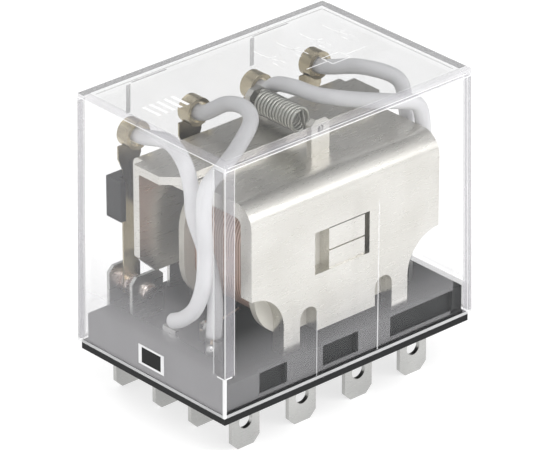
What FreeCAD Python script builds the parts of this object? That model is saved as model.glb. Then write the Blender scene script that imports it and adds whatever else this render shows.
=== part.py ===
"""Plug-in power relay, four changeover poles, fourteen flat blades, clear dust cover.

Millimetres. X runs along the long side, Y from the yoke side (-Y) to the contact side
(+Y), Z up. Z = 0 is the underside of the base flange, where the relay sits on its socket.
"""
import FreeCAD, Part
import Sketcher
import math
import os
import re

os.makedirs("parts", exist_ok=True)

Vector = FreeCAD.Vector
Rotation = FreeCAD.Rotation
Placement = FreeCAD.Placement
doc = FreeCAD.newDocument("relay")
sheet = doc.addObject("Spreadsheet::Sheet", "sizes")

SIZES = {
    # clear cover
    "cover_long": 42.2, "cover_deep": 28.0, "cover_top": 35.65, "draft_ends": 0.5,
    "draft_front": 0.35, "draft_rear": 0.15, "wall": 1.2, "skirt_wall": 0.8,
    "skirt_top": 6.5, "cover_round": 0.5,
    "window_half": 2.4, "window_low": 2.5, "window_high": 5.2,
    # base
    "flange_height": 1.15, "flange_inset": 0.4, "block_top": 5.0, "block_gap": 0.2,
    "snap_half": 1.7, "snap_low": 2.9, "snap_high": 4.8, "snap_out": 0.7,
    "pocket_depth": 1.6, "pocket_low": 1.7,
    "left_pocket_from": -14.5, "left_pocket_to": -10.2, "mid_pocket_from": -4.0,
    "mid_pocket_to": 1.8, "right_pocket_from": 7.6, "right_pocket_to": 18.4,
    # blades and the strips that join them to their posts inside the base
    "tip": 6.6, "blade_half": 2.3, "blade_thick": 0.6, "tip_cut": 1.0, "hole_radius": 1.1,
    "hole_height": 3.65, "strip_low": 2.2, "strip_thick": 0.6,
    "row_com": -10.0, "row_coil": -2.3, "row_no": 4.5, "row_nc": 12.1, "row_run": -4.6,
    "column_in": 4.8, "column_out": 14.3,
    # contact poles
    "pole_in": 5.2, "pole_out": 15.2, "contact_height": 8.7,
    "no_plate": 7.1, "nc_plate": 11.5, "plate_thick": 0.5, "plate_half": 2.55,
    "plate_top": 11.2, "plate_cut": 0.8, "head_radius": 1.5, "head_thick": 0.5,
    "moving_radius": 1.3, "front_head": 0.45, "no_head": 0.4, "shank_radius": 0.8,
    "tail_radius": 1.15, "tail_thick": 0.35, "contact_gap": 0.05,
    # contact springs
    "leaf_face": 10.2, "leaf_thick": 0.25, "leaf_half": 1.2, "leaf_shoulder": 1.85,
    "leaf_low": 6.9, "leaf_top": 28.3, "leaf_cut": 0.8, "leaf_taper": 1.0,
    "shoulder_low": 26.5, "barrel_radius": 1.9, "barrel_room": 1.4, "barrel_long": 2.0,
    "barrel_height": 29.9,
    # magnet frame
    "yoke_mid": 1.2, "yoke_half": 15.8, "yoke_front": -11.8, "yoke_thick": 2.0,
    "yoke_top": 26.9, "yoke_rear": 6.1, "bend": 2.9, "edge_low": 14.2, "arch": 5.3,
    "foot_in": 7.8, "slot_in": 4.9, "slot_top": 10.3, "lap_low": 6.5, "foot_low": 3.0,
    "gate_mid": 0.5, "gate_half": 4.6, "gate_low": 14.4, "gate_high": 20.2,
    # core
    "core_mid": 1.5, "core_half": 3.0, "core_low": 14.4, "core_high": 19.9,
    "core_sunk": 0.25, "split_height": 16.9, "split_depth": 0.45, "split_half": 0.1,
    "pole_face": 5.35, "pole_half": 5.0, "pole_low": 13.6, "pole_high": 20.7,
    "pole_thick": 0.9,
    # bobbin and winding
    "bobbin_half": 13.6, "bobbin_cheek": 1.0, "bobbin_rear": 4.3, "bobbin_low": 6.6,
    "bobbin_high": 24.0, "bobbin_round": 6.5, "tube_half": 4.4, "tube_low": 13.7,
    "tube_high": 20.6, "wind_half": 11.9, "wind_low": 7.4, "wind_high": 23.2,
    "wind_round": 5.5,
    # armature
    "arm_low": 27.0, "plate": 1.1, "arm_half": 18.5, "arm_rear": 5.6, "arm_front": -1.1,
    "arm_cut": 2.0, "leg_front": 6.4, "leg_half": 17.0, "leg_low": 11.6, "leg_cut": 2.6,
    "arm_bend": 1.0,
    # the carrier on the armature's leg
    "carrier_half": 17.7, "carrier_low": 18.4, "carrier_high": 24.0, "carrier_rear": 11.9,
    "pad_mid": 10.3, "pad_half": 2.6, "cheek_front": 9.1, "cheek": 0.8, "leaf_grip": 0.2,
    # return spring and the two posts it hooks to
    "spring_x": 2.0, "spring_z": 30.5, "spring_radius": 1.7, "wire": 0.36,
    "spring_rear": 5.0, "spring_front": -3.1, "hook_front": -5.6,
    "post_half": 1.5, "post_top": 31.9, "post_cut": 0.7, "post_thick": 0.9,
    "hook_hole": 0.5, "hook_lap": 0.5,
    # flexible leads
    "sleeve": 1.05,
    # lugs and tags that stand on the base
    "lug_side": 18.0, "lug_side_y": -0.5, "lug_corner": 16.2, "lug_corner_y": -6.5,
    "lug_half": 1.2, "lug_top": 7.6, "lug_eye": 6.2, "lug_hole": 0.6, "coil_tag": 13.9,
    "tag_half": 0.7, "tag_height": 7.6,
}

for row, (alias, size) in enumerate(SIZES.items(), start=1):
    sheet.set("A%d" % row, alias)
    sheet.set("B%d" % row, str(size))
    sheet.setAlias("B%d" % row, alias)
doc.recompute()

LEFT, RIGHT = -1, 1
POLES = {1: ("pole_out", LEFT), 2: ("pole_in", LEFT), 3: ("pole_in", RIGHT), 4: ("pole_out", RIGHT)}
COLUMNS = {1: ("column_out", LEFT), 2: ("column_in", LEFT),
           3: ("column_in", RIGHT), 4: ("column_out", RIGHT)}


# ---- sizes as text: "cover_top - 2*wall" binds to the sheet and also gives a number
def bound(text):
    return re.sub(r"[a-z][a-z_]*", lambda word: "sizes." + word.group(0), text)


def number(text):
    total, sign = 0.0, 1.0
    for word in text.split():
        if word in "+-":
            sign = 1.0 if word == "+" else -1.0
            continue
        value = 1.0
        for factor in word.split("*"):
            value *= SIZES[factor.lstrip("-")] if factor.lstrip("-") in SIZES else abs(float(factor))
            value *= -1.0 if factor.startswith("-") else 1.0
        total += sign * value
        sign = 1.0
    return total


def flipped(text):
    """The same sum with every plus and minus turned round, to take it away from something."""
    swap = {"+": "-", "-": "+"}
    return " ".join(swap.get(word, word) for word in text.split())


def signed(side, alias):
    return alias if side == RIGHT else "-1*" + alias


def bind(thing, field, text):
    thing.setExpression(field, bound(text))


# ---- primitives
def block(name, x, y, z):
    """A box from its low and high limits along each axis."""
    box = doc.addObject("Part::Box", name)
    for field, axis, (low, high) in zip(("Length", "Width", "Height"), "xyz", (x, y, z)):
        bind(box, field, "(" + high + ") - (" + low + ")")
        bind(box, "Placement.Base." + axis, low)
    return box


def rod(name, axis, start, radius, height):
    """A cylinder from its start point, along +X, +Y or +Z."""
    turn = {"x": Rotation(Vector(0, 1, 0), 90), "y": Rotation(Vector(1, 0, 0), -90),
            "z": Rotation()}[axis]
    bar = doc.addObject("Part::Cylinder", name)
    bar.Placement = Placement(Vector(), turn)
    bind(bar, "Radius", radius)
    bind(bar, "Height", height)
    for letter, text in zip("xyz", start):
        bind(bar, "Placement.Base." + letter, text)
    return bar


def fuse(name, pieces):
    joined = doc.addObject("Part::MultiFuse", name)
    joined.Shapes = pieces
    joined.Refine = True
    return joined


def cut(name, stock, tools):
    tool = tools[0] if len(tools) == 1 else fuse(name + "_tools", tools)
    left = doc.addObject("Part::Cut", name)
    left.Base, left.Tool = stock, tool
    left.Refine = True
    return left


def rounded(name, stock, size, wanted):
    """Round the edges for which wanted(edge) holds."""
    doc.recompute()
    radius = number(size)
    edges = [n for n, edge in enumerate(stock.Shape.Edges, start=1) if wanted(edge)]
    fillet = doc.addObject("Part::Fillet", name)
    fillet.Base = stock
    fillet.Edges = [(n, radius, radius) for n in edges]
    return fillet


def chamfered(name, stock, size, wanted):
    """Cut off the edges for which wanted(edge) holds."""
    doc.recompute()
    leg = number(size)
    edges = [n for n, edge in enumerate(stock.Shape.Edges, start=1) if wanted(edge)]
    bevel = doc.addObject("Part::Chamfer", name)
    bevel.Base = stock
    bevel.Edges = [(n, leg, leg) for n in edges]
    return bevel


def along(axis):
    """True for straight edges that run along one axis."""
    def test(edge):
        if not isinstance(edge.Curve, Part.Line) or len(edge.Vertexes) < 2:
            return False
        run = edge.Vertexes[1].Point - edge.Vertexes[0].Point
        return abs(getattr(run, axis)) > 0.999 * run.Length
    return test


def lies(axis, place, slack=0.01):
    """True for edges whose middle is at a place on an axis."""
    def test(edge):
        return abs(getattr(edge.BoundBox.Center, axis) - place) < slack
    return test


def both(*tests):
    return lambda edge: all(test(edge) for test in tests)


# ---- bodies made from sketches
def plane_of(body, role):
    return next(plane for plane in body.Origin.OriginFeatures if plane.Role == role)


def outline(body, name, role, corners):
    """A closed sketch of straight edges whose corners are tied to the sheet."""
    sketch = body.newObject("Sketcher::SketchObject", name)
    sketch.AttachmentSupport = [(plane_of(body, role), "")]
    sketch.MapMode = "FlatFace"
    points = [Vector(number(a), number(b), 0) for a, b in corners]
    for n, point in enumerate(points):
        follower = points[(n + 1) % len(points)]
        sketch.addGeometry(Part.LineSegment(point, follower), False)
    ask = Sketcher.Constraint
    for n in range(len(points)):
        sketch.addConstraint(ask("Coincident", n, 2, (n + 1) % len(points), 1))
    for n, (a, b) in enumerate(corners):
        for kind, text in (("DistanceX", a), ("DistanceY", b)):
            index = sketch.addConstraint(ask(kind, -1, 1, n, 1, number(text)))
            bind(sketch, "Constraints[%d]" % index, text)
    return sketch


def padded(body, sketch, length, offset=None, midplane=False):
    pad = body.newObject("PartDesign::Pad", sketch.Name + "_pad")
    pad.Profile = sketch
    pad.SideType = "Symmetric" if midplane else "One side"
    bind(pad, "Length", length)
    if offset:
        bind(sketch, "AttachmentOffset.Base.z", offset)
    body.Tip = pad
    return pad


def slab(body, name, x, y, z):
    """A box added to a body, from its low and high limits along each axis."""
    box = body.newObject("PartDesign::AdditiveBox", name)
    for field, axis, (low, high) in zip(("Length", "Width", "Height"), "xyz", (x, y, z)):
        bind(box, field, "(" + high + ") - (" + low + ")")
        bind(box, "Placement.Base." + axis, low)
    body.Tip = box
    return box


def new_body(label):
    body = doc.addObject("PartDesign::Body", label)
    body.Label = label
    return body


def both_ways(middle, half):
    return (middle + " - " + half, middle + " + " + half)


def mirrored(half):
    return ("-1*" + half, half)


# ---- enclosure
def wide(less_by):
    """Limits across the cover's foot along X, with a part such as "wall" taken off both."""
    return ("-0.5*cover_long + " + less_by, "0.5*cover_long - " + flipped(less_by))


def deep(less_by):
    """Limits across the cover's foot along Y, with a part such as "wall" taken off both."""
    return ("-0.5*cover_deep + " + less_by, "0.5*cover_deep - " + flipped(less_by))


def tapered(name, less_by, low, high):
    """A block that narrows upwards by the moulding draft."""
    (left, right), (front, rear) = wide(less_by), deep(less_by)
    form = doc.addObject("Part::Wedge", name)
    form.Placement = Placement(Vector(), Rotation(Vector(1, 0, 0), 90))
    limits = {"Xmin": left, "Xmax": right, "Ymin": low, "Ymax": high,
              "Zmin": "-1*(" + rear + ")", "Zmax": "-1*(" + front + ")",
              "X2min": left + " + draft_ends", "X2max": right + " - draft_ends",
              "Z2min": "-1*(" + rear + ") + draft_rear",
              "Z2max": "-1*(" + front + ") - draft_front"}
    for field, text in limits.items():
        bind(form, field, text)
    return form


def dust_cover():
    shell = tapered("cover_outside", "0", "flange_height", "cover_top")
    shell = rounded("cover_rounded", shell, "cover_round", lies("z", number("cover_top")))
    room = tapered("cover_room", "wall", "flange_height - 1", "cover_top - wall")
    skirt = block("cover_skirt", wide("skirt_wall"), deep("skirt_wall"), ("0", "skirt_top"))
    window = block("cover_windows", ("-1*cover_long", "cover_long"),
                   ("-1*window_half", "window_half"), ("window_low", "window_high"))
    return cut("dust_cover", shell, [room, skirt, window])


def base(inserts):
    """Flange, block and side snaps, with slots where metal stands in it."""
    flange = block("base_flange", wide("flange_inset"), deep("flange_inset"),
                   ("0", "flange_height"))
    body = block("base_block", wide("skirt_wall + block_gap"), deep("skirt_wall + block_gap"),
                 ("flange_height", "block_top"))
    snap_ends = wide("skirt_wall + block_gap - snap_out")
    snaps = block("base_snaps", snap_ends, mirrored("snap_half"), ("snap_low", "snap_high"))
    whole = fuse("base_whole", [flange, body, snaps])
    front = ("-0.5*cover_deep", "-0.5*cover_deep + pocket_depth")
    pockets = []
    for word in ("left", "mid", "right"):
        span = (word + "_pocket_from", word + "_pocket_to")
        pockets.append(block("base_pocket_" + word, span, front, ("pocket_low", "block_top + 1")))
    return cut("base", whole, pockets + inserts)


# ---- terminals
def blade(body, column, row):
    """A flat blade with clipped tip corners, its width along X."""
    half, low, high = "blade_half", "-1*tip", "strip_low + strip_thick"
    corners = [(column + " - " + half, high), (column + " - " + half, low + " + tip_cut"),
               (column + " - " + half + " + tip_cut", low),
               (column + " + " + half + " - tip_cut", low),
               (column + " + " + half, low + " + tip_cut"), (column + " + " + half, high)]
    face = outline(body, body.Name + "_blade", "XZ_Plane", corners)
    padded(body, face, "blade_thick", "-1*" + row, midplane=True)


def blade_hole(name, column, row):
    start = (column, row + " - blade_thick", "-1*tip + hole_height")
    return rod(name + "_eye", "y", start, "hole_radius", "2*blade_thick")


def plate(body, pole, face):
    """The upright plate that carries a fixed contact."""
    low, high = pole + " - plate_half", pole + " + plate_half"
    corners = [(low, "strip_low"), (high, "strip_low"), (high, "plate_top - plate_cut"),
               (high + " - plate_cut", "plate_top"), (low + " + plate_cut", "plate_top"),
               (low, "plate_top - plate_cut")]
    sketch = outline(body, body.Name + "_plate", "XZ_Plane", corners)
    padded(body, sketch, "plate_thick", "-1*" + face + " - 0.5*plate_thick", midplane=True)


def fixed_terminal(label, column, row, pole, face):
    body = new_body(label + "_stamping")
    blade(body, column, row)
    near, far = row + " - 0.5*blade_thick", face + " + plate_thick"
    slab(body, label + "_strip", both_ways(pole, "plate_half"), (near, far),
         ("strip_low", "strip_low + strip_thick"))
    plate(body, pole, face)
    rivet_hole = rod(label + "_rivet_hole", "y", (pole, face + " - 1", "contact_height"),
                     "shank_radius", "plate_thick + 2")
    return cut(label, body, [blade_hole(label, column, row), rivet_hole])


def rivet(label, pole, face, thick, head_first):
    """A contact rivet: a domed head, a shank through the plate and a clinched tail."""
    head_at = face + " - " + thick if head_first else face + " + plate_thick"
    tail_at = face + " + plate_thick" if head_first else face + " - tail_thick"
    head = rod(label + "_head", "y", (pole, head_at, "contact_height"), "head_radius", thick)
    shank = rod(label + "_shank", "y", (pole, face, "contact_height"), "shank_radius",
                "plate_thick")
    tail = rod(label + "_tail", "y", (pole, tail_at, "contact_height"), "tail_radius",
               "tail_thick")
    return fuse(label, [head, shank, tail])


def common_terminal(label, column, side, lug):
    """The pole's common: a blade in the front row and a lug for the flexible lead."""
    body = new_body(label + "_stamping")
    blade(body, column, "row_com")
    post, post_y = signed(side, lug), lug + "_y"
    strip = ("strip_low", "strip_low + strip_thick")
    post_x = both_ways(post, "0.5*strip_thick")
    across = (post_x[0], column) if side == LEFT else (column, post_x[1])
    if lug == "lug_corner":
        slab(body, label + "_link", across, both_ways("row_com", "0.5*blade_thick"), strip)
        slab(body, label + "_run", post_x, ("row_com", post_y), strip)
    else:
        slab(body, label + "_link", both_ways(column, "0.5*strip_thick"),
             ("row_com", "row_run + 0.5*strip_thick"), strip)
        slab(body, label + "_run", across, both_ways("row_run", "0.5*strip_thick"), strip)
        slab(body, label + "_side", post_x, ("row_run", post_y), strip)
    slab(body, label + "_lug", post_x, both_ways(post_y, "lug_half"), ("strip_low", "lug_top"))
    eye = rod(label + "_lug_eye", "x", (post + " - 1", post_y, "lug_eye"), "lug_hole", "2")
    return cut(label, body, [blade_hole(label, column, "row_com"), eye])


def coil_terminal(label, side):
    column = signed(side, "column_out")
    body = new_body(label + "_stamping")
    blade(body, column, "row_coil")
    slab(body, label + "_tag", both_ways(signed(side, "coil_tag"), "tag_half"),
         both_ways("row_coil", "0.5*blade_thick"), ("strip_low", "tag_height"))
    return cut(label, body, [blade_hole(label, column, "row_coil")])


# ---- magnet
def yoke_opening(side, word):
    """What is cut off one lower corner, and the slot between that foot and the lap."""
    sign, back = (" - ", " + ") if side == LEFT else (" + ", " - ")
    start, depth = "yoke_front - 1", "yoke_thick + 1.2"
    through = (start, "yoke_front + yoke_thick + 0.2")
    edge = "yoke_mid" + sign + "yoke_half"
    inner = edge + back + "arch"
    arch = rod("yoke_arch_" + word, "y", (edge, start, "edge_low - arch"), "arch", depth)
    span = sorted([edge + sign + "1", inner], key=number)
    corner = block("yoke_corner_" + word, tuple(span), through, ("0", "edge_low - arch"))
    span = sorted(["yoke_mid" + sign + "slot_in", "yoke_mid" + sign + "foot_in"], key=number)
    slot_round = "slot_top - 0.5*foot_in + 0.5*slot_in"
    slot = block("yoke_slot_" + word, tuple(span), through, ("0", slot_round))
    centre = "yoke_mid" + sign + "0.5*slot_in" + sign + "0.5*foot_in"
    crown = rod("yoke_slot_top_" + word, "y", (centre, start, slot_round),
                "0.5*foot_in - 0.5*slot_in", depth)
    return [arch, corner, slot, crown]


def yoke_frame():
    wide_x = both_ways("yoke_mid", "yoke_half")
    face = block("yoke_face", wide_x, ("yoke_front", "yoke_front + yoke_thick"),
                 ("foot_low", "yoke_top"))
    roof = block("yoke_roof", wide_x, ("yoke_front", "yoke_rear"),
                 ("yoke_top - yoke_thick", "yoke_top"))
    bent = fuse("yoke_bent", [face, roof])
    outer = both(along("x"), lies("y", number("yoke_front")), lies("z", number("yoke_top")))
    bent = rounded("yoke_outer_bend", bent, "bend", outer)
    inner = both(along("x"), lies("y", number("yoke_front + yoke_thick")),
                 lies("z", number("yoke_top - yoke_thick")))
    bent = rounded("yoke_inner_bend", bent, "bend - yoke_thick", inner)
    through = ("yoke_front - 1", "yoke_front + yoke_thick + 0.2")
    lap = block("yoke_lap", both_ways("yoke_mid", "slot_in"), through, ("0", "lap_low"))
    gate = block("yoke_gate", both_ways("gate_mid", "gate_half"), through,
                 ("gate_low", "gate_high"))
    tools = [lap, gate] + yoke_opening(LEFT, "left") + yoke_opening(RIGHT, "right")
    return cut("yoke_frame", bent, tools)


def hook_post(name, y, z_low):
    """An upright tab with clipped corners that an end of the return spring hooks to."""
    tab = block(name, both_ways("spring_x", "post_half"), y, (z_low, "post_top"))
    return chamfered(name + "_cut", tab, "post_cut", both(along("y"), lies("z", number("post_top"))))


def yoke():
    tab = hook_post("spring_post", both_ways("hook_front", "0.5*post_thick"),
                    "yoke_top - 0.5*yoke_thick")
    hole = rod("spring_post_hole", "y", ("spring_x", "hook_front - 1", "spring_z"), "hook_hole",
               "2")
    return cut("yoke", fuse("yoke_whole", [yoke_frame(), tab]), [hole])


def core():
    rise = ("core_low", "core_high")
    bar = block("core_bar", both_ways("core_mid", "core_half"),
                ("yoke_front + core_sunk", "pole_face"), rise)
    pole = block("core_pole", both_ways("yoke_mid", "pole_half"),
                 ("pole_face - pole_thick", "pole_face"), ("pole_low", "pole_high"))
    groove = block("core_split", both_ways("core_mid", "core_half"),
                   ("yoke_front", "yoke_front + core_sunk + split_depth"),
                   both_ways("split_height", "split_half"))
    return cut("core", fuse("core_whole", [bar, pole]), [groove])


def bobbin():
    inside = "yoke_front + yoke_thick"
    parts = []
    for word, low in (("front", inside), ("rear", "bobbin_rear - bobbin_cheek")):
        side = block("bobbin_cheek_" + word, both_ways("yoke_mid", "bobbin_half"),
                     (low, low + " + bobbin_cheek"), ("bobbin_low", "bobbin_high"))
        parts.append(rounded("bobbin_cheek_round_" + word, side, "bobbin_round", along("y")))
    parts.append(block("bobbin_tube", both_ways("yoke_mid", "tube_half"), (inside, "bobbin_rear"),
                       ("tube_low", "tube_high")))
    hole = block("bobbin_hole", both_ways("core_mid", "core_half"), (inside + " - 1", "pole_face"),
                 ("core_low", "core_high"))
    return cut("bobbin", fuse("bobbin_whole", parts), [hole])


def coil_winding():
    span = ("yoke_front + yoke_thick + bobbin_cheek", "bobbin_rear - bobbin_cheek")
    coil = block("coil_outside", both_ways("yoke_mid", "wind_half"), span,
                 ("wind_low", "wind_high"))
    coil = rounded("coil_rounded", coil, "wind_round", along("y"))
    room = block("coil_room", both_ways("yoke_mid", "tube_half"), span, ("tube_low", "tube_high"))
    return cut("coil_winding", coil, [room])


# ---- moving parts
def armature():
    top = ("arm_low", "arm_low + plate")
    wings = block("armature_wings", mirrored("arm_half"), ("arm_front", "arm_rear"), top)
    front = both(along("z"), lies("y", number("arm_front")))
    wings = chamfered("armature_wings_cut", wings, "arm_cut", front)
    neck = block("armature_neck", mirrored("leg_half"), ("0", "leg_front + plate"), top)
    leg = block("armature_leg", mirrored("leg_half"), ("leg_front", "leg_front + plate"),
                ("leg_low", "arm_low + plate"))
    low = both(along("y"), lies("z", number("leg_low")))
    leg = chamfered("armature_leg_cut", leg, "leg_cut", low)
    angle = fuse("armature_angle", [wings, neck, leg])
    bend = both(along("x"), lies("y", number("leg_front + plate")),
                lies("z", number("arm_low + plate")))
    angle = rounded("armature_bend", angle, "arm_bend", bend)
    tab = hook_post("armature_tab", ("arm_rear - 0.2", "arm_rear + 0.7"), "arm_low + 0.3")
    hole = rod("armature_tab_hole", "y", ("spring_x", "arm_rear - 1", "spring_z"), "hook_hole", "3")
    return cut("armature", fuse("armature_whole", [angle, tab]), [hole])


def contact_carrier():
    """The insulating bar across the armature's leg that holds the four springs."""
    rise = ("carrier_low", "carrier_high")
    seat = "leaf_face + leaf_thick"
    pieces = [block("carrier_bar", mirrored("carrier_half"), (seat, "carrier_rear"), rise)]
    for word, middle in (("left", "-1*pad_mid"), ("middle", "0"), ("right", "pad_mid")):
        pieces.append(block("carrier_pad_" + word, both_ways(middle, "pad_half"),
                            ("leg_front + plate", seat + " + leaf_grip"), rise))
    for word, ends in (("left", ("-1*carrier_half", "-1*carrier_half + cheek")),
                       ("right", ("carrier_half - cheek", "carrier_half"))):
        pieces.append(block("carrier_cheek_" + word, ends, ("cheek_front", "carrier_rear"), rise))
    return fuse("contact_carrier", pieces)


def contact_spring(n):
    """A leaf that hangs from the carrier, with a rolled barrel at its top."""
    pole = signed(POLES[n][1], POLES[n][0])
    label = "contact_spring_%d" % n
    body = new_body(label + "_leaf")
    right = [("leaf_half - leaf_cut", "leaf_low"), ("leaf_half", "leaf_low + leaf_cut"),
             ("leaf_half", "carrier_high + leaf_taper"), ("leaf_shoulder", "shoulder_low"),
             ("leaf_shoulder", "leaf_top")]
    corners = [(pole + " + " + across, up) for across, up in right]
    corners += [(pole + " - " + flipped(across), up) for across, up in reversed(right)]
    sketch = outline(body, label + "_shape", "XZ_Plane", corners)
    padded(body, sketch, "leaf_thick", "-1*leaf_face - 0.5*leaf_thick", midplane=True)
    rear = "leaf_face + leaf_thick"
    barrel = rod(label + "_barrel", "y", (pole, rear + " - barrel_long", "barrel_height"),
                 "barrel_radius", "barrel_long")
    room = rod(label + "_barrel_room", "y", (pole, rear + " - barrel_long - 1", "barrel_height"),
               "barrel_room", "barrel_long + 2")
    hole = rod(label + "_rivet_hole", "y", (pole, "leaf_face - 1", "contact_height"),
               "shank_radius", "2")
    return cut(label, fuse(label + "_whole", [body, barrel]), [room, hole])


def moving_contact(n):
    """A double-faced rivet: one face meets each fixed contact."""
    pole = signed(POLES[n][1], POLES[n][0])
    label = "moving_contact_%d" % n
    rear = "nc_plate - head_thick - contact_gap"
    back = rod(label + "_rear", "y", (pole, "leaf_face + leaf_thick", "contact_height"),
               "moving_radius", rear + " - leaf_face - leaf_thick")
    front = rod(label + "_front", "y", (pole, "leaf_face - front_head", "contact_height"),
                "moving_radius", "front_head")
    shank = rod(label + "_shank", "y", (pole, "leaf_face", "contact_height"), "shank_radius",
                "leaf_thick")
    return fuse(label, [back, front, shank])


def return_spring():
    coil = rod("spring_coil", "y", ("spring_x", "spring_front", "spring_z"), "spring_radius",
               "spring_rear - spring_front")
    room = rod("spring_room", "y", ("spring_x", "spring_front - 1", "spring_z"),
               "spring_radius - wire", "spring_rear - spring_front + 2")
    tube = cut("spring_tube", coil, [room])
    near = "hook_front + 0.5*post_thick"
    front = rod("spring_front_hook", "y", ("spring_x", near, "spring_z + spring_radius - wire"),
                "0.5*wire", "spring_front + hook_lap - hook_front - 0.5*post_thick")
    return fuse("return_spring", [tube, front])


def lead(label, points, radius):
    """A round sleeve along straight runs joined by tangent arcs."""
    points = [Vector(*point) for point in points]
    edges, start = [], points[0]
    for before, here, after in zip(points, points[1:], points[2:]):
        back, on = before - here, after - here
        half_turn = 0.5 * (math.pi - back.getAngle(on))
        reach = 0.45 * min(back.Length, on.Length)
        back.normalize()
        on.normalize()
        first, last = here + back * reach, here + on * reach
        depth = reach * math.tan(half_turn) * (1 / math.cos(half_turn) - 1) / math.tan(half_turn) ** 2
        inward = (back + on).normalize()
        middle = here + inward * depth
        edges += [Part.LineSegment(start, first).toShape(), Part.Arc(first, middle, last).toShape()]
        start = last
    edges.append(Part.LineSegment(start, points[-1]).toShape())
    path = Part.Wire(edges)
    ring = Part.Wire([Part.Circle(points[0], points[1] - points[0], radius).toShape()])
    tube = path.makePipeShell([ring], True, False)
    print("%s length %.2f, volume over section by length %.4f"
          % (label, path.Length, tube.Volume / (math.pi * radius ** 2 * path.Length)))
    sleeve = doc.addObject("Part::Feature", label)
    sleeve.Shape = tube
    return sleeve


def lead_route(n):
    """Control points of one flexible lead, from its leaf's barrel to its lug.

    The outer leads run down behind the inner ones and end at the corner lugs. They pass the
    yoke's edge further out on the right, where the yoke stands nearer to the cover.
    """
    side = POLES[n][1]
    pole, level = number(POLES[n][0]), number("barrel_height")
    past = 17.4 if side == LEFT else 18.3
    if n in (1, 4):
        route = [(pole, 9.4, level), (pole, 7.4, level + 0.2), (16.2, 1.6, 31.8),
                 (past, -2.6, 31.0), (past + 0.1, -4.0, 28.0), (past, -4.3, 24.4),
                 (16.4, -4.8, 20.4), (16.0, -5.8, 16.6), (16.0, -6.6, 12.4),
                 (number("lug_corner"), number("lug_corner_y"), number("lug_top + 0.1"))]
    else:
        route = [(pole, 9.4, level), (pole, 7.6, level + 0.2), (4.3, 4.4, 32.2),
                 (4.3, 1.0, 32.9), (5.6, -1.6, 32.4), (9.4, -3.9, 31.4), (13.8, -5.8, 30.4),
                 (17.4, -7.0, 29.4), (18.35, -7.3, 26.4), (18.3, -7.4, 21.2),
                 (18.3, -7.1, 16.4), (18.3, -5.6, 12.4), (18.1, -3.0, 9.8),
                 (17.9, -0.9, 8.6)]
    return [(side * x, y, z) for x, y, z in route]


MADE = {}
for n in range(1, 5):
    side = POLES[n][1]
    pole, column = signed(side, POLES[n][0]), signed(side, COLUMNS[n][0])
    MADE["nc_terminal_%d" % n] = fixed_terminal("nc_terminal_%d" % n, column, "row_nc", pole,
                                                "nc_plate")
    MADE["no_terminal_%d" % n] = fixed_terminal("no_terminal_%d" % n, column, "row_no", pole,
                                                "no_plate")
    lug = "lug_corner" if n in (1, 4) else "lug_side"
    MADE["common_terminal_%d" % n] = common_terminal("common_terminal_%d" % n, column, side, lug)
    MADE["nc_contact_%d" % n] = rivet("nc_contact_%d" % n, pole, "nc_plate", "head_thick", True)
    MADE["no_contact_%d" % n] = rivet("no_contact_%d" % n, pole, "no_plate", "no_head", False)
    MADE["contact_spring_%d" % n] = contact_spring(n)
    MADE["moving_contact_%d" % n] = moving_contact(n)
for n, side in ((1, LEFT), (2, RIGHT)):
    MADE["coil_terminal_%d" % n] = coil_terminal("coil_terminal_%d" % n, side)
MADE["yoke"] = yoke()
inserts = [thing for label, thing in MADE.items() if "terminal" in label or label == "yoke"]
MADE["base"] = base(inserts)
MADE["dust_cover"] = dust_cover()
MADE["core"] = core()
MADE["bobbin"] = bobbin()
MADE["coil_winding"] = coil_winding()
MADE["armature"] = armature()
MADE["contact_carrier"] = contact_carrier()
MADE["return_spring"] = return_spring()
for n in range(1, 5):
    MADE["lead_sleeve_%d" % n] = lead("lead_sleeve_%d" % n, lead_route(n), SIZES["sleeve"])
doc.recompute()

for thing in doc.Objects:
    if "Invalid" in thing.State or "Error" in thing.State:
        raise RuntimeError("%s failed: %s" % (thing.Name, thing.State))
for label, thing in MADE.items():
    shape = thing.Shape
    if shape.isNull() or not shape.isValid() or not shape.Solids:
        raise RuntimeError(label + " has no sound shape")
    thing.Label = label
    shape.exportStep("parts/%s.step" % label)
    print("%-22s solids %d volume %8.2f" % (label, len(shape.Solids), shape.Volume))
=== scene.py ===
"""Looks for the plug-in relay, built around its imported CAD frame. Metres, Z up."""
import math

import bpy
from mathutils import Matrix, Vector


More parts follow.
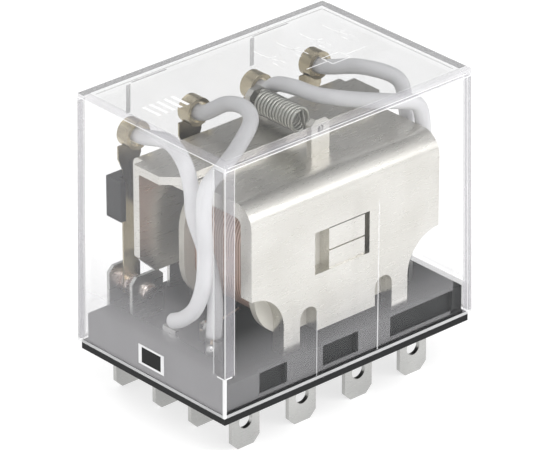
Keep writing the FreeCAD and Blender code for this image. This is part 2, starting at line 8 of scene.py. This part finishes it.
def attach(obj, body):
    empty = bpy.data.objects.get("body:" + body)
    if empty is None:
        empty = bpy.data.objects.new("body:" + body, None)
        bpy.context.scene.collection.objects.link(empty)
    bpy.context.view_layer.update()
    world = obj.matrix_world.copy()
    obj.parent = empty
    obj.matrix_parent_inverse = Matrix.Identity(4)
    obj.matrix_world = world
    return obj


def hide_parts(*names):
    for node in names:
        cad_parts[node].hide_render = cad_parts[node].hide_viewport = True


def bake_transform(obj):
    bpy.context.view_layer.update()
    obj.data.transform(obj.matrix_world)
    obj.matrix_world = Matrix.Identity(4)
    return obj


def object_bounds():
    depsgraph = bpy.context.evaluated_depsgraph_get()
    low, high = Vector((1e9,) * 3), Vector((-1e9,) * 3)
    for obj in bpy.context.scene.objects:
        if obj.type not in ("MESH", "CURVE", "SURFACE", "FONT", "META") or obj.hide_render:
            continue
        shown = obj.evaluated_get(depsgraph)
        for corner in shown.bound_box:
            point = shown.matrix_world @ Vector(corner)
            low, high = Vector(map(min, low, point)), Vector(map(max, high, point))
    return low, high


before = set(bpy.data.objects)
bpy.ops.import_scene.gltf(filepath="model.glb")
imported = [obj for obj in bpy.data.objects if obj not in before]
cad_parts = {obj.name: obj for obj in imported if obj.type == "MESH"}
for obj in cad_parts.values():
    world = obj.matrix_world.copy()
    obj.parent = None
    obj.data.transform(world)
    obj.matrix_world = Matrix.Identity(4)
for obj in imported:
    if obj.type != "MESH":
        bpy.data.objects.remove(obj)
cad_low, cad_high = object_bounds()
MM = 0.001
POLES = range(1, 5)


# ---------------------------------------------------------------- materials
def new_material(name):
    material = bpy.data.materials.new(name)
    material.use_nodes = True
    tree = material.node_tree
    return material, tree, tree.nodes["Principled BSDF"]


def node(tree, kind, **inputs):
    made = tree.nodes.new(kind)
    for key, value in inputs.items():
        made.inputs[key.replace("_", " ")].default_value = value
    return made


def noise(tree, scale, detail=3.0, stretch=None):
    """Noise in the object's own coordinates, which are metres."""
    place = tree.nodes.new("ShaderNodeTexCoord")
    texture = node(tree, "ShaderNodeTexNoise", Scale=scale, Detail=detail)
    source = place.outputs["Object"]
    if stretch:
        squeeze = tree.nodes.new("ShaderNodeMapping")
        squeeze.inputs["Scale"].default_value = stretch
        tree.links.new(source, squeeze.inputs["Vector"])
        source = squeeze.outputs["Vector"]
    tree.links.new(source, texture.inputs["Vector"])
    return texture.outputs["Fac"]


def ramp(tree, source, low, high, stops):
    """A colour ramp between two positions."""
    made = tree.nodes.new("ShaderNodeValToRGB")
    first, last = made.color_ramp.elements
    first.position, last.position = low, high
    first.color, last.color = (*stops[0], 1), (*stops[1], 1)
    tree.links.new(source, made.inputs["Fac"])
    return made.outputs["Color"]


def spread(tree, source, low, high, start=0.0, end=1.0):
    """Map start to end onto low to high, held at both ends."""
    made = tree.nodes.new("ShaderNodeMapRange")
    for name, value in (("From Min", start), ("From Max", end), ("To Min", low), ("To Max", high)):
        made.inputs[name].default_value = value
    tree.links.new(source, made.inputs["Value"])
    return made.outputs["Result"]


def bump(tree, shader, source, height, strength):
    made = tree.nodes.new("ShaderNodeBump")
    made.inputs["Distance"].default_value = height
    made.inputs["Strength"].default_value = strength
    tree.links.new(source, made.inputs["Height"])
    tree.links.new(made.outputs["Normal"], shader.inputs["Normal"])


def metal(name, dark, light, rough, grain=(1, 12, 12), scale=500.0, height=0.0004 * MM):
    """Plated or rolled metal: faintly cloudy colour, streaked roughness and a fine grain."""
    material, tree, shader = new_material(name)
    shader.inputs["Metallic"].default_value = 1.0
    cloud = noise(tree, 110.0, 2.0)
    tree.links.new(ramp(tree, cloud, 0.35, 0.65, (dark, light)), shader.inputs["Base Color"])
    streaks = noise(tree, scale, 3.0, grain)
    tree.links.new(spread(tree, streaks, rough[0], rough[1]), shader.inputs["Roughness"])
    bump(tree, shader, streaks, height, 0.12)
    return material


def plastic(name, dark, light, rough, height=0.002 * MM, coat=0.0, gloss=0.5):
    """Moulded plastic: a slightly uneven colour and a fine moulded texture."""
    material, tree, shader = new_material(name)
    cloud = noise(tree, 220.0)
    tree.links.new(ramp(tree, cloud, 0.3, 0.7, (dark, light)), shader.inputs["Base Color"])
    fine = noise(tree, 4000.0, 4.0)
    tree.links.new(spread(tree, fine, rough[0], rough[1]), shader.inputs["Roughness"])
    shader.inputs["Coat Weight"].default_value = coat
    shader.inputs["Specular IOR Level"].default_value = gloss
    bump(tree, shader, fine, height, 0.3)
    return material


def see_through(name, colour, alpha, metallic=1.0, rough=0.03, uneven=0.15):
    """A thin clear layer that covers a share of what is behind it, a little unevenly."""
    material, tree, shader = new_material(name)
    soft = noise(tree, 150.0, 2.0)
    tree.links.new(ramp(tree, soft, 0.3, 0.7, ([c * (1 - uneven) for c in colour], colour)),
                   shader.inputs["Base Color"])
    tree.links.new(spread(tree, soft, alpha * (1 - uneven), alpha, 0.3, 0.7),
                   shader.inputs["Alpha"])
    shader.inputs["Metallic"].default_value = metallic
    shader.inputs["Roughness"].default_value = rough
    return material


def fading_painted_reflection(name, colour, strong, weak, low, high):
    """Painted reflection: a pale layer that is strong up to the height low and weak from the
    height high.
    """
    material, tree, shader = new_material(name)
    soft = noise(tree, 90.0, 2.0)
    tree.links.new(ramp(tree, soft, 0.3, 0.7, ([c * 0.9 for c in colour], colour)),
                   shader.inputs["Base Color"])
    place = tree.nodes.new("ShaderNodeTexCoord")
    parts = tree.nodes.new("ShaderNodeSeparateXYZ")
    tree.links.new(place.outputs["Object"], parts.inputs["Vector"])
    tree.links.new(spread(tree, parts.outputs["Z"], strong, weak, low * MM, high * MM),
                   shader.inputs["Alpha"])
    shader.inputs["Roughness"].default_value = 0.4
    return material


def wound_coil(name):
    """Fine enamelled wire under thin tape: turns run round the Y axis."""
    material, tree, shader = new_material(name)
    place = tree.nodes.new("ShaderNodeTexCoord")
    turns = node(tree, "ShaderNodeTexWave", Scale=700.0, Distortion=0.4, Detail=1.0)
    turns.bands_direction = "Y"
    tree.links.new(place.outputs["Object"], turns.inputs["Vector"])
    shades = ((0.3, 0.17, 0.12), (0.66, 0.48, 0.4))
    tree.links.new(ramp(tree, turns.outputs["Fac"], 0.1, 0.9, shades),
                   shader.inputs["Base Color"])
    tree.links.new(spread(tree, noise(tree, 400.0), 0.2, 0.45), shader.inputs["Roughness"])
    shader.inputs["Coat Weight"].default_value = 0.5
    bump(tree, shader, turns.outputs["Fac"], 0.02 * MM, 0.6)
    return material


NICKEL = metal("nickel_plate", (0.66, 0.645, 0.605), (0.73, 0.715, 0.68), (0.24, 0.33))
TIN = metal("tinned_brass", (0.47, 0.47, 0.46), (0.58, 0.58, 0.565), (0.22, 0.36))
SILVER = metal("silver_contact", (0.68, 0.56, 0.51), (0.86, 0.78, 0.74), (0.18, 0.35))
BRONZE = metal("spring_bronze", (0.36, 0.31, 0.21), (0.6, 0.54, 0.41), (0.16, 0.32))
WIRE = metal("spring_wire", (0.36, 0.36, 0.33), (0.56, 0.56, 0.52), (0.26, 0.34))
COPPER = metal("bare_copper", (0.5, 0.4, 0.32), (0.72, 0.62, 0.52), (0.25, 0.4))
# painted shade: dark colour for a disc in the open end of each lead's sleeve
BORE_SHADE = plastic("sleeve_bore_shade", (0.08, 0.07, 0.06), (0.14, 0.12, 0.1), (0.6, 0.8))
SOLDER = metal("solder", (0.55, 0.55, 0.55), (0.74, 0.74, 0.73), (0.15, 0.4), (1, 1, 1))
BLACK = plastic("black_plastic", (0.006, 0.0065, 0.007), (0.011, 0.0115, 0.0125), (0.45, 0.6),
                0.0005 * MM, gloss=0.22)
CREAM = plastic("bobbin_plastic", (0.55, 0.53, 0.47), (0.66, 0.64, 0.58), (0.3, 0.45), coat=0.2)
WHITE = plastic("white_sleeve", (0.66, 0.66, 0.675), (0.75, 0.75, 0.765), (0.4, 0.55), 0.004 * MM)
PRINT = plastic("print_ink", (0.86, 0.86, 0.86), (0.93, 0.93, 0.93), (0.5, 0.6))
COIL = wound_coil("coil_tape")
CLEAR = see_through("clear_cover", (0.8, 0.81, 0.82), 0.035)
# painted shade: a grey layer laid just under the cover's top, darkening it
TOP_SHADE = see_through("cover_top_painted_shade", (0.15, 0.152, 0.157), 0.26, 0.0, 0.2, 0.08)
# painted shade: dark grey strips for the cover's edges
DARK_SHADE_EDGE = see_through("cover_edge_dark_shade", (0.13, 0.13, 0.135), 0.72, 0.0, 0.2, 0.05)
# painted shade: grey strips at the cover's corners and edges
SHADE_EDGE = see_through("cover_edge_shade", (0.26, 0.255, 0.265), 0.58, 0.0, 0.2, 0.25)
# painted shade: pale grey bands where the cover's edges and corners look grey
PALE_SHADE_EDGE = see_through("cover_edge_pale_shade", (0.44, 0.43, 0.46), 0.48, 0.0, 0.2, 0.1)
# painted highlight: soft near-white lines on the cover
SOFT_HIGHLIGHT_EDGE = see_through("cover_edge_soft_highlight", (0.86, 0.86, 0.87), 0.6, 0.0, 0.2, 0.1)
# painted highlight: bright white lines on the cover's edges and window rims
BRIGHT_HIGHLIGHT_EDGE = see_through("cover_edge_bright_highlight", (0.95, 0.95, 0.96), 0.85, 0.0, 0.2, 0.05)
# painted reflection: a pale layer over the lower side walls, fading upward
SIDE_REFLECTION = fading_painted_reflection("cover_side_painted_reflection", (0.66, 0.65, 0.67), 0.42, 0.12, 6.5, 15.0)
# painted reflection: a pale layer over the lower front wall, gone by 12 mm up
FRONT_REFLECTION = fading_painted_reflection("cover_front_painted_reflection", (0.62, 0.61, 0.63), 0.26, 0.0, 5.0, 12.0)

NODE_MATERIALS = {
    "dust_cover": CLEAR, "base": BLACK, "contact_carrier": BLACK, "yoke": NICKEL, "core": NICKEL,
    "armature": NICKEL, "bobbin": CREAM, "coil_winding": COIL, "return_spring": WIRE,
}
for n in POLES:
    for kind in ("nc_terminal", "no_terminal", "common_terminal"):
        NODE_MATERIALS["%s_%d" % (kind, n)] = TIN
    for kind in ("nc_contact", "no_contact", "moving_contact"):
        NODE_MATERIALS["%s_%d" % (kind, n)] = SILVER
    NODE_MATERIALS["contact_spring_%d" % n] = BRONZE
    NODE_MATERIALS["lead_sleeve_%d" % n] = WHITE
for n in (1, 2):
    NODE_MATERIALS["coil_terminal_%d" % n] = TIN


def paint(thing, material):
    thing.data.materials.clear()
    thing.data.materials.append(material)


for name, material in NODE_MATERIALS.items():
    paint(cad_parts[name], material)


# ---------------------------------------------------------------- shapes
def piece(name, points, faces, material, smooth=False, body="root"):
    """A mesh from points in millimetres, riding on a body."""
    mesh = bpy.data.meshes.new(name)
    mesh.from_pydata([Vector(p) * MM for p in points], [], faces)
    mesh.update()
    if smooth:
        mesh.polygons.foreach_set("use_smooth", [True] * len(mesh.polygons))
    thing = bpy.data.objects.new(name, mesh)
    bpy.context.collection.objects.link(thing)
    paint(thing, material)
    if body:
        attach(thing, body)
    return thing


def smoothed(points, steps=8):
    """A smooth line through the points."""
    points = [Vector(p) for p in points]
    ends = [points[0] * 2 - points[1]] + points + [points[-1] * 2 - points[-2]]
    line = []
    for a, b, c, d in zip(ends, ends[1:], ends[2:], ends[3:]):
        for step in range(steps):
            t = step / steps
            line.append(0.5 * (2 * b + (c - a) * t + (2 * a - 5 * b + 4 * c - d) * t ** 2
                               + (3 * b - a - 3 * c + d) * t ** 3))
    return line + [points[-1]]


def tube_parts(line, radius, sides=16, caps=True):
    """Points and faces of a round tube along a line; radius may be a list, one for each point."""
    radii = radius if isinstance(radius, (list, tuple)) else [radius] * len(line)
    points, faces = [], []
    ahead = (line[1] - line[0]).normalized()
    side = ahead.orthogonal().normalized()
    for n, here in enumerate(line):
        before, after = line[max(n - 1, 0)], line[min(n + 1, len(line) - 1)]
        ahead = (after - before).normalized()
        side = (side - ahead * side.dot(ahead)).normalized()
        up = ahead.cross(side)
        for k in range(sides):
            turn = math.tau * k / sides
            points.append(here + (side * math.cos(turn) + up * math.sin(turn)) * radii[n])
    for n in range(len(line) - 1):
        for k in range(sides):
            low, high = n * sides + k, n * sides + (k + 1) % sides
            faces.append((low, high, high + sides, low + sides))
    if caps:
        faces.append(tuple(reversed(range(sides))))
        faces.append(tuple(range(len(points) - sides, len(points))))
    return points, faces


def tube(name, line, radius, material, body="root", sides=16):
    points, faces = tube_parts(line, radius, sides)
    return piece(name, points, faces, material, True, body)


def dome(name, centre, radius, rise, toward, material, body):
    """A shallow dome on a rivet's flat face, along Y."""
    points, faces, rings, sides = [], [], 5, 24
    for ring in range(rings):
        tilt = math.pi / 2 * ring / rings
        for k in range(sides):
            turn = math.tau * k / sides
            points.append((centre[0] + radius * math.cos(tilt) * math.cos(turn),
                           centre[1] + toward * rise * math.sin(tilt),
                           centre[2] + radius * math.cos(tilt) * math.sin(turn)))
    points.append((centre[0], centre[1] + toward * rise, centre[2]))
    for ring in range(rings - 1):
        for k in range(sides):
            low, high = ring * sides + k, ring * sides + (k + 1) % sides
            faces.append((low, high, high + sides, low + sides))
    last = (rings - 1) * sides
    faces += [(last + k, last + (k + 1) % sides, len(points) - 1) for k in range(sides)]
    return piece(name, points, faces, material, True, body)


# ---------------------------------------------------------------- return spring and leads
def return_spring():
    """Close-wound wire with a loop at each end, through the holes of its two posts."""
    x, z, radius, wire = 2.0, 30.4, 1.5, 0.21
    rear, front, turns, turn_steps = 4.75, -2.5, 13, 28
    rear_post, front_post, loop_steps = 6.0, -5.2, 7
    line = []
    for n in range(loop_steps + 1):
        turn = math.pi / 2 + math.pi * 1.5 * n / loop_steps
        line.append(Vector((x, 5.8 + 0.765 * math.sin(turn), z + 0.72 * math.cos(turn))))
    line.append(Vector((x, rear + 0.35, z + 1.0)))
    steps = turns * turn_steps
    for n in range(steps + 1):
        turn = math.tau * n / turn_steps
        line.append(Vector((x + radius * math.sin(turn), rear + (front - rear) * n / steps,
                            z + radius * math.cos(turn))))
    line += [Vector((x, front - 0.7, z - 1.0)), Vector((x, -3.9, z - 0.2)),
             Vector((x, -4.4, z + 0.6))]
    for n in range(loop_steps + 1):
        turn = math.pi * 1.5 * n / loop_steps
        line.append(Vector((x, -5.3 - 0.75 * math.sin(turn), z + 0.1 + 0.75 * math.cos(turn))))
    spring = tube("return_spring_wire", line, wire, WIRE, None, 12)
    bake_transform(spring)
    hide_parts("return_spring")


def lead_route(n):
    """The line of one flexible lead, from its leaf's barrel to its lug.

    These are the CAD sleeve's control points, except that each lead starts 0.4 mm nearer its
    leaf and the two outer ones end 0.4 mm higher."""
    side = -1 if n < 3 else 1
    past = 17.4 if side < 0 else 18.3
    if n in (1, 4):
        route = [(15.2, 9.8, 29.9), (15.2, 7.4, 30.1), (16.2, 1.6, 31.8), (past, -2.6, 31.0),
                 (past + 0.1, -4.0, 28.0), (past, -4.3, 24.4), (16.4, -4.8, 20.4),
                 (16.0, -5.8, 16.6), (16.0, -6.6, 12.4), (16.2, -6.5, 8.1)]
    else:
        route = [(5.2, 9.8, 29.9), (5.2, 7.6, 30.1), (4.3, 4.4, 32.2), (4.3, 1.0, 32.9),
                 (5.6, -1.6, 32.4), (9.4, -3.9, 31.4), (13.8, -5.8, 30.4), (17.4, -7.0, 29.4),
                 (18.35, -7.3, 26.4), (18.3, -7.4, 21.2), (18.3, -7.1, 16.4), (18.3, -5.6, 12.4),
                 (18.1, -3.0, 9.8), (17.9, -0.9, 8.6)]
    return [Vector((side * x, y, z)) for x, y, z in route]


def flexible_lead(n):
    """A soft sleeve on stranded wire: the sleeve is a little thinner at its start, and the wire
    shows at its far end.
    """
    route = lead_route(n)
    line = smoothed(route, 10)
    count = len(line)
    radii = [1.0] * count
    radii[0] = 0.9
    sleeve = tube("lead_sleeve_soft_%d" % n, line, radii, WHITE, None, 24)
    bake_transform(sleeve)
    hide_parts("lead_sleeve_%d" % n)
    side = -1 if n < 3 else 1
    end, ahead = line[-1], (line[-1] - line[-2]).normalized()
    post = (16.2, -6.5) if n in (1, 4) else (18.0, -0.5)
    eye = Vector((side * (post[0] + (0.45 if n in (1, 4) else -0.45)), post[1], 6.3))
    strands = []
    for k in range(7):
        turn = math.tau * k / 6
        away = Vector((math.cos(turn), 0.6 * math.sin(turn), 0)) * (0.3 if k < 6 else 0.0)
        strands.append(smoothed([end - ahead * 0.6 + away, end + ahead * 0.5 + away * 0.9,
                                 (end + eye) / 2 + away * 0.7, eye + away * 0.5], 4))
    # a dark disc of painted shade where the sleeve's bore opens
    tube("lead_bore_shade_%d" % n, [end - ahead * 0.02, end + ahead * 0.02], 0.72, BORE_SHADE, "root", 20)
    points, faces = [], []
    for strand in strands:
        more, sides = tube_parts(strand, 0.14, 6)
        faces += [tuple(len(points) + k for k in face) for face in sides]
        points += more
    piece("lead_strands_%d" % n, points, faces, COPPER, True)
    blob = [eye + Vector((0, 0, z)) for z in (-0.75, -0.6, -0.2, 0.2, 0.6, 0.8)]
    tube("lead_solder_%d" % n, blob, [0.15, 0.5, 0.68, 0.66, 0.48, 0.2], SOLDER, "root", 14)


return_spring()
for n in POLES:
    flexible_lead(n)


# ---------------------------------------------------------------- rivets and coil ends
for n in POLES:
    x = (-15.2, -5.2, 5.2, 15.2)[n - 1]
    dome("no_rivet_tail_%d" % n, (x, 6.75, 8.7), 1.15, 0.3, -1, SILVER, "root")
    dome("nc_rivet_tail_%d" % n, (x, 12.35, 8.7), 1.15, 0.3, 1, SILVER, "root")


def coil_end(n, side):
    """Fine wire from the winding, round its tag and into the solder."""
    tag = Vector((side * 13.9, -2.3, 7.2))
    coil_middle = 1.2
    inner = side * 10.5 + coil_middle
    line = smoothed([(inner, -3.5, 8.4), (side * 12.4, -3.2, 7.6), (side * 13.3, -2.8, 7.3),
                     (side * 13.9, -2.8, 6.9), (side * 14.7, -2.3, 6.7), (side * 13.9, -1.8, 6.5),
                     (side * 13.2, -2.3, 6.3)], 6)
    tube("coil_wire_%d" % n, line, 0.12, COPPER, "root", 8)
    blob = [tag + Vector((0, 0, z)) for z in (-1.1, -0.8, -0.3, 0.2, 0.5)]
    tube("coil_solder_%d" % n, blob, [0.3, 0.62, 0.75, 0.6, 0.3], SOLDER, "root", 14)


coil_end(1, -1)
coil_end(2, 1)


# ---------------------------------------------------------------- the cover's edges: painted highlights, painted shade and painted reflection
FOOT, CROWN = 1.15, 35.65


def cover_at(z):
    """The cover's outer limits at a height: left, right, front, rear."""
    share = (z - FOOT) / (CROWN - FOOT)
    return (-21.1 + 0.5 * share, 21.1 - 0.5 * share, -14.0 + 0.35 * share, 14.0 - 0.15 * share)


def wall_point(wall, across, z, skin):
    """A point just inside an outer face; across is measured inward from the face's near edge.

    A positive distance starts from the left or front edge, a negative one from the other."""
    left, right, front, rear = cover_at(z)
    if wall in ("left", "right"):
        y = front + across if across >= 0 else rear + across
        return ((left + skin) if wall == "left" else (right - skin), y, z)
    x = left + across if across >= 0 else right + across
    return (x, (front + skin) if wall == "front" else (rear - skin), z)


def cover_quad(spec, skin):
    """Four points of a patch: on the top between two corners, or upright on a wall."""
    wall, a, b, c, d = spec
    if wall == "top":
        z = CROWN - skin
        return [(a, b, z), (c, b, z), (c, d, z), (a, d, z)]
    return [wall_point(wall, a, c, skin), wall_point(wall, b, c, skin),
            wall_point(wall, b, d, skin), wall_point(wall, a, d, skin)]


def flat_patches(name, quads, material):
    points, faces = [], []
    for quad in quads:
        faces.append(tuple(range(len(points), len(points) + 4)))
        points += quad
    return piece(name, points, faces, material)


def patches(name, specs, material, skin):
    return flat_patches(name, [cover_quad(spec, skin) for spec in specs], material)


LEFT, RIGHT, FRONT, REAR = cover_at(CROWN)
STEP, ROOF = 6.7, 34.5
# painted shade over most of the cover's top
patches("cover_top_painted_shade", [
    ("top", LEFT + 1.1, FRONT + 0.9, RIGHT - 1.3, REAR - 1.2),
], TOP_SHADE, 0.12)
# painted shade along the cover's rear and right top edges
patches("cover_dark_shade_edges", [
    ("top", LEFT + 0.1, REAR - 1.2, RIGHT - 0.1, REAR - 0.03),
    ("top", RIGHT - 1.3, FRONT + 1.0, RIGHT - 0.03, REAR - 1.2),
], DARK_SHADE_EDGE, 0.1)
# painted shade down the left front corner, near the rear and right top edges, on the top and on
# the rear wall
patches("cover_shaded_edges", [
    ("left", 0.35, 1.95, STEP, ROOF),
    ("top", LEFT + 1.6, REAR - 1.88, RIGHT - 1.8, REAR - 1.74),
    ("top", RIGHT - 1.86, FRONT + 1.6, RIGHT - 1.74, REAR - 1.88),
    ("top", -13.5, REAR - 2.3, -7.8, REAR - 2.0), ("top", 6.6, REAR - 2.3, 12.6, REAR - 2.0),
    ("rear", 7.95, 8.65, 30.2, 34.1), ("rear", 28.6, 29.3, 30.2, 34.1),
    ("front", 1.0, -1.6, 34.78, 34.88),
], SHADE_EDGE, 0.14)
# painted shade in pale grey bands along the front and left top edges and down the corners
patches("cover_pale_shade_edges", [
    ("top", LEFT + 0.05, FRONT + 0.03, RIGHT - 0.05, FRONT + 0.9),
    ("top", LEFT + 0.05, FRONT + 0.9, LEFT + 1.1, REAR - 1.2),
    ("front", 0.1, -0.1, 34.65, CROWN - 0.08), ("left", 0.1, -0.1, 35.15, CROWN - 0.08),
    ("left", -1.15, -0.05, FOOT + 0.5, 35.1), ("front", 0.35, 1.6, STEP, ROOF),
    ("front", -1.6, -0.05, FOOT + 0.5, 34.6), ("right", 0.1, 1.3, FOOT + 0.5, ROOF),
    ("rear", 0.1, 1.3, FOOT + 0.5, ROOF),
], PALE_SHADE_EDGE, 0.07)
LINE = 0.16
# painted highlights: soft white lines round the cover's foot, at its front corners and down its
# front wall
patches("cover_soft_highlight_lines", [
    ("left", 0.1, -0.1, FOOT + 0.02, FOOT + 0.45), ("front", 0.1, -0.1, FOOT + 0.02, FOOT + 0.45),
    ("right", 0.1, -0.1, FOOT + 0.02, FOOT + 0.45), ("rear", 0.1, -0.1, FOOT + 0.02, FOOT + 0.45),
    ("front", 0.02, 0.3, STEP, 35.1), ("front", 1.6, 1.6 + LINE, STEP, ROOF),
    ("left", 1.95, 1.95 + LINE, STEP, ROOF), ("front", -0.85, -0.7, FOOT + 0.5, 34.6),
    ("front", 15.3, 15.42, 1.7, 10.7), ("front", 25.6, 25.78, 1.7, 22.4),
    ("top", LEFT + 1.1, FRONT + 0.9, RIGHT - 1.5, FRONT + 1.0),
], SOFT_HIGHLIGHT_EDGE, 0.045)
# painted highlights: bright lines along the cover's top edges, at its step and at its lower
# front-left corner
patches("cover_bright_highlight_lines", [
    ("top", LEFT + 1.3, REAR - 1.5, RIGHT - 1.3, REAR - 1.28),
    ("top", RIGHT - 1.56, FRONT + 1.3, RIGHT - 1.36, REAR - 1.5),
    ("front", 0.2, -0.3, 34.55, 34.69), ("front", 0.6, -0.9, 35.02, 35.12),
    ("left", 0.1, -0.1, 35.05, 35.17),
    ("left", 0.02, 0.35, FOOT + 0.05, STEP), ("front", 0.02, 0.4, FOOT + 0.05, STEP),
    ("left", 0.1, 1.4, STEP - 0.2, STEP), ("front", 0.1, 1.3, STEP - 0.2, STEP),
], BRIGHT_HIGHLIGHT_EDGE, 0.02)


def window_rim(side):
    """A bright band of painted highlight round one snap window, on its cut edge and reaching into
    the opening.
    """
    middle = -cover_at(4.0)[2]
    low, high, half, rim, inner = 2.48, 5.22, 2.42, 0.3, 1.8
    return [(side, middle - half, middle - inner, low, high),
            (side, middle + inner, middle + half, low, high),
            (side, middle - inner, middle + inner, low, low + rim),
            (side, middle - inner, middle + inner, high - rim, high)]


# painted highlights round both snap windows
patches("cover_window_rim_highlights", window_rim("left") + window_rim("right"), BRIGHT_HIGHLIGHT_EDGE, 0.22)
# painted reflection on each side wall: before, behind and below the snap window, then above it on
# the left
SIDE_PARTS = [(0.3, 11.57, 1.5, 5.2), (16.37, -0.3, 1.5, 5.2), (11.57, 16.37, 1.5, 2.5),
              (0.3, -0.3, 5.2, 34.4)]
patches("cover_side_painted_reflection", [(side, *part) for side in ("left", "right") for part in SIDE_PARTS[:3]]
        + [("left", *SIDE_PARTS[3])], SIDE_REFLECTION, 0.24)
# painted reflection over the base's front, left off the three dark pockets between 2.2 and 5 mm up
patches("cover_front_painted_reflection", [
    ("front", 0.9, 6.4, 1.65, 5.0), ("front", 11.0, 17.0, 1.65, 5.0),
    ("front", 23.0, 28.5, 1.65, 5.0), ("front", 6.4, 11.0, 1.65, 2.2),
    ("front", 17.0, 23.0, 1.65, 2.2), ("front", 28.5, 39.0, 1.65, 2.2),
    ("front", 0.9, 39.4, 5.0, 12.0),
], FRONT_REFLECTION, 0.72)


# ---------------------------------------------------------------- a plain contact diagram
def ink(points, wide=0.14):
    """Flat strokes between points on the cover's top."""
    z = CROWN - 0.02
    quads = []
    for (ax, ay), (bx, by) in zip(points, points[1:]):
        run = Vector((bx - ax, by - ay, 0))
        away = Vector((-run.y, run.x, 0)).normalized() * wide / 2
        a, b = Vector((ax, ay, z)), Vector((bx, by, z))
        quads.append([tuple(a - away), tuple(b - away), tuple(b + away), tuple(a + away)])
    return quads


def contact_diagram():
    quads = ink([(8.5, -1.2), (11.5, -1.2), (11.5, 0.9), (8.5, 0.9), (8.5, -1.2)])
    quads += ink([(5.0, -0.2), (8.5, -0.2)]) + ink([(11.5, -0.2), (15.0, -0.2)])
    for column in range(4):
        x = 3.6 + 3.9 * column
        quads += ink([(x, 6.6), (x + 0.4, 4.0)]) + ink([(x - 0.5, 4.0), (x - 0.5, 3.0)])
        quads += ink([(x + 0.7, 4.0), (x + 0.7, 3.0)]) + ink([(x, 6.6), (x, 8.2)])
        quads += ink([(x + 0.1, 5.2), (x + 1.2, 5.2)])
    for step in range(5):
        quads += ink([(-17.2 + 1.15 * step, 2.0), (-17.2 + 1.15 * step, 5.2)], 0.5)
    flat_patches("contact_diagram", quads, PRINT)


contact_diagram()


# ---------------------------------------------------------------- stage, lights and camera
AZIMUTH, ELEVATION = math.radians(-42.027), math.radians(26.985)
DISTANCE, LENS = 649.6 * MM, 339.1


def view_axes():
    """The camera's backward, right and up directions."""
    flat = math.cos(ELEVATION)
    back = Vector((math.sin(AZIMUTH) * flat, -math.cos(AZIMUTH) * flat, math.sin(ELEVATION)))
    right = Vector((math.cos(AZIMUTH), math.sin(AZIMUTH), 0))
    return back, right, back.cross(right)


def camera():
    back, right, up = view_axes()
    data = bpy.data.cameras.new("camera")
    data.lens, data.sensor_width = LENS, 36.0
    data.clip_start, data.clip_end = 0.01, 20.0
    eye = bpy.data.objects.new("camera", data)
    bpy.context.collection.objects.link(eye)
    aim = Vector((0, 0, 18.15 * MM)) + right * -0.096 * MM + up * -2.35 * MM
    eye.location = aim + back * DISTANCE
    eye.rotation_mode = "QUATERNION"
    eye.rotation_quaternion = Matrix((right, up, back)).transposed().to_quaternion()
    bpy.context.scene.camera = eye


def area_light(name, place, size, power, aim=(0, 0, 0.015)):
    data = bpy.data.lights.new(name, "AREA")
    data.shape, data.size, data.energy = "SQUARE", size, power
    lamp = bpy.data.objects.new(name, data)
    bpy.context.collection.objects.link(lamp)
    lamp.location = place
    lamp.rotation_mode = "QUATERNION"
    lamp.rotation_quaternion = (Vector(aim) - Vector(place)).to_track_quat("-Z", "Y")


def studio_world():
    """A white room with one grey side, up and behind to the right, for the metal to mirror."""
    world = bpy.data.worlds.new("studio")
    bpy.context.scene.world = world
    world.use_nodes = True
    tree = world.node_tree
    place = tree.nodes.new("ShaderNodeTexCoord")
    toward = tree.nodes.new("ShaderNodeVectorMath")
    toward.operation = "DOT_PRODUCT"
    toward.inputs[1].default_value = (0.596, 0.662, 0.454)
    tree.links.new(place.outputs["Generated"], toward.inputs[0])
    level = spread(tree, toward.outputs["Value"], 1.0, 0.36, 0.5, 0.95)
    background = tree.nodes["Background"]
    background.inputs["Color"].default_value = (1, 1, 1, 1)
    tree.links.new(level, background.inputs["Strength"])


def floor():
    reach, level = 3.0, cad_low.z
    mesh = bpy.data.meshes.new("floor")
    mesh.from_pydata([(-reach, -reach, level), (reach, -reach, level), (reach, reach, level),
                      (-reach, reach, level)], [], [(0, 1, 2, 3)])
    ground = bpy.data.objects.new("floor", mesh)
    bpy.context.collection.objects.link(ground)
    material, tree, shader = new_material("pale_floor")
    shader.inputs["Base Color"].default_value = (0.38, 0.38, 0.38, 1)
    shader.inputs["Roughness"].default_value = 0.9
    shader.inputs["Emission Color"].default_value = (1, 1, 1, 1)
    shader.inputs["Emission Strength"].default_value = 0.72
    mesh.materials.append(material)


bpy.context.scene.view_settings.view_transform = "Standard"
camera()
studio_world()
floor()
area_light("key", (-0.25, -0.35, 0.6), 0.4, 1.6)
area_light("front_strip", (0.25, -0.6, 0.35), 0.3, 1.2)
area_light("back", (0.1, 0.5, 0.4), 0.4, 0.6)
